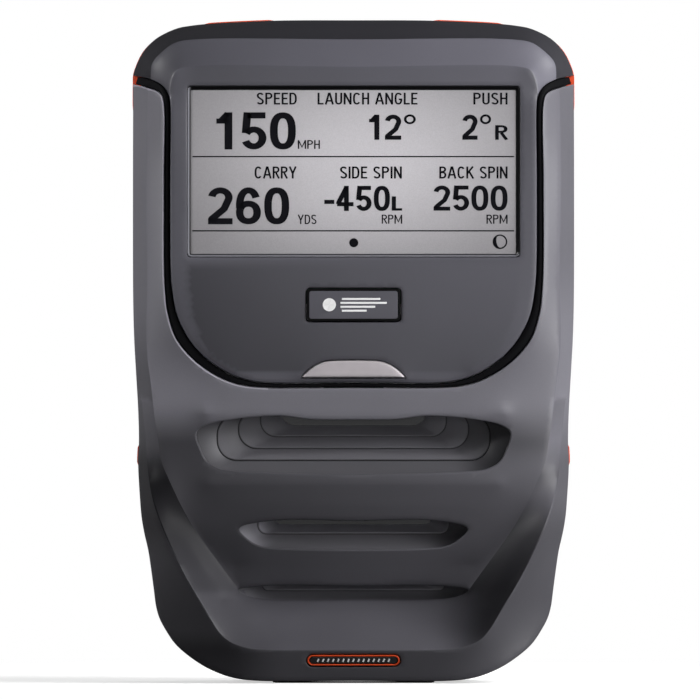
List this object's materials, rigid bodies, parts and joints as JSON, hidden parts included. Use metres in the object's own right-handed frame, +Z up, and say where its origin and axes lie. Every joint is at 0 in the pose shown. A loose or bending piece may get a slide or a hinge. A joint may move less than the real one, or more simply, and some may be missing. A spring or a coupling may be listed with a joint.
{
  "type": "launch monitor",
  "caption": "Free-standing camera golf launch monitor: leaning grey display head, baffled camera slots over a light scoop, orange trim, rear port door and levelling jack.",
  "frame": {"origin": "on the ground plane, under the middle of the body", "axes": "+Z up, the display and camera slots face -Y, +X to the right seen from the front"},
  "size_m": [0.1758, 0.114, 0.263],
  "materials": {
    "shell_plastic": "fine-textured satin moulding, warm grey",
    "head_plastic": "satin moulding, darker grey",
    "hood_plastic": "fine-textured matt moulding",
    "gasket_rubber": "matt black",
    "foot_rubber": "matt black",
    "accent_orange": "semi-gloss orange",
    "screen_face": "anti-glare reflective display, grey",
    "optic_clear": "clear, dark tinted",
    "button_silver": "satin silver",
    "badge_face": "blank, satin",
    "pill_black": "blank, gloss black",
    "dark_plastic": "black moulding",
    "circuit_board": "solder-mask green",
    "chassis_aluminium": "satin",
    "bright_steel": "plated",
    "battery_wrap": "heat-shrink sleeve"
  },
  "bodies": {
    "body": {"badge_plate": "badge_face", "base_badge": "pill_black", "base_badge_outline": "accent_orange", "base_plate": "bright_steel", "battery_bracket": "chassis_aluminium", "battery_pack": "battery_wrap", "bezel_gasket": "gasket_rubber", "camera_barrel_lower": "dark_plastic", "camera_barrel_middle": "dark_plastic", "camera_barrel_upper": "dark_plastic", "camera_lens_lower": "optic_clear", "camera_lens_middle": "optic_clear", "camera_lens_upper": "optic_clear", "dc_jack": "dark_plastic", "display_bezel": "head_plastic", "display_seal": "gasket_rubber", "display_window": "screen_face", "door_pin": "bright_steel", "ethernet_jack": "bright_steel", "front_foot": "foot_rubber", "front_shell": "shell_plastic", "heatsink": "chassis_aluminium", "hood_lower": "hood_plastic", "hood_middle": "hood_plastic", "hood_upper": "hood_plastic", "infrared_board_left": "circuit_board", "infrared_board_right": "circuit_board", "io_board": "circuit_board", "lcd_backlight": "chassis_aluminium", "lcd_panel": "dark_plastic", "main_board": "circuit_board", "optical_bench": "chassis_aluminium", "power_ring": "accent_orange", "power_switch": "dark_plastic", "processor_shield": "bright_steel", "rear_shell": "shell_plastic", "screw_lower_left": "bright_steel", "screw_lower_right": "bright_steel", "screw_upper_left": "bright_steel", "screw_upper_right": "bright_steel", "select_switch": "dark_plastic", "sensor_board_lower": "circuit_board", "sensor_board_middle": "circuit_board", "sensor_board_upper": "circuit_board", "trim_ring": "accent_orange", "usb_c_port": "bright_steel", "wifi_antenna": "circuit_board", "window_lower": "optic_clear", "window_middle": "optic_clear", "window_upper": "optic_clear"},
    "select_key": {"select_button": "button_silver"},
    "power_key": {"power_button": "dark_plastic"},
    "door": {"port_door": "dark_plastic"},
    "jack_wheel": {"level_wheel": "dark_plastic"},
    "jack_foot": {"level_stem": "bright_steel", "level_pad": "foot_rubber"}
  },
  "joints": [
    {"name": "select_press", "type": "slide", "parent": "body", "child": "select_key", "axis": [0, 0.9979, -0.0655], "range_m": [0, 0.001], "stiffness_N_per_m": 1500, "springref_m": -0.001},
    {"name": "power_press", "type": "slide", "parent": "body", "child": "power_key", "axis": [0, -1, 0], "range_m": [0, 0.001], "stiffness_N_per_m": 1500, "springref_m": -0.001},
    {"name": "door_hinge", "type": "hinge", "parent": "body", "child": "door", "pos_m": [0.036, 0.0536, 0.0944], "axis": [-1, 0, 0], "range_deg": [0, 100]},
    {"name": "jack_turn", "type": "hinge", "parent": "body", "child": "jack_wheel", "pos_m": [0, 0.039, 0.007], "axis": [0, 0, 1], "range_deg": [0, 900.01]},
    {"name": "jack_travel", "type": "slide", "parent": "body", "child": "jack_foot", "axis": [0, 0, -1], "range_m": [0, 0.005]}
  ],
  "couplings": [
    {"joint": "jack_turn", "follows": "jack_travel", "rad_per_m": 3141.6}
  ]
}
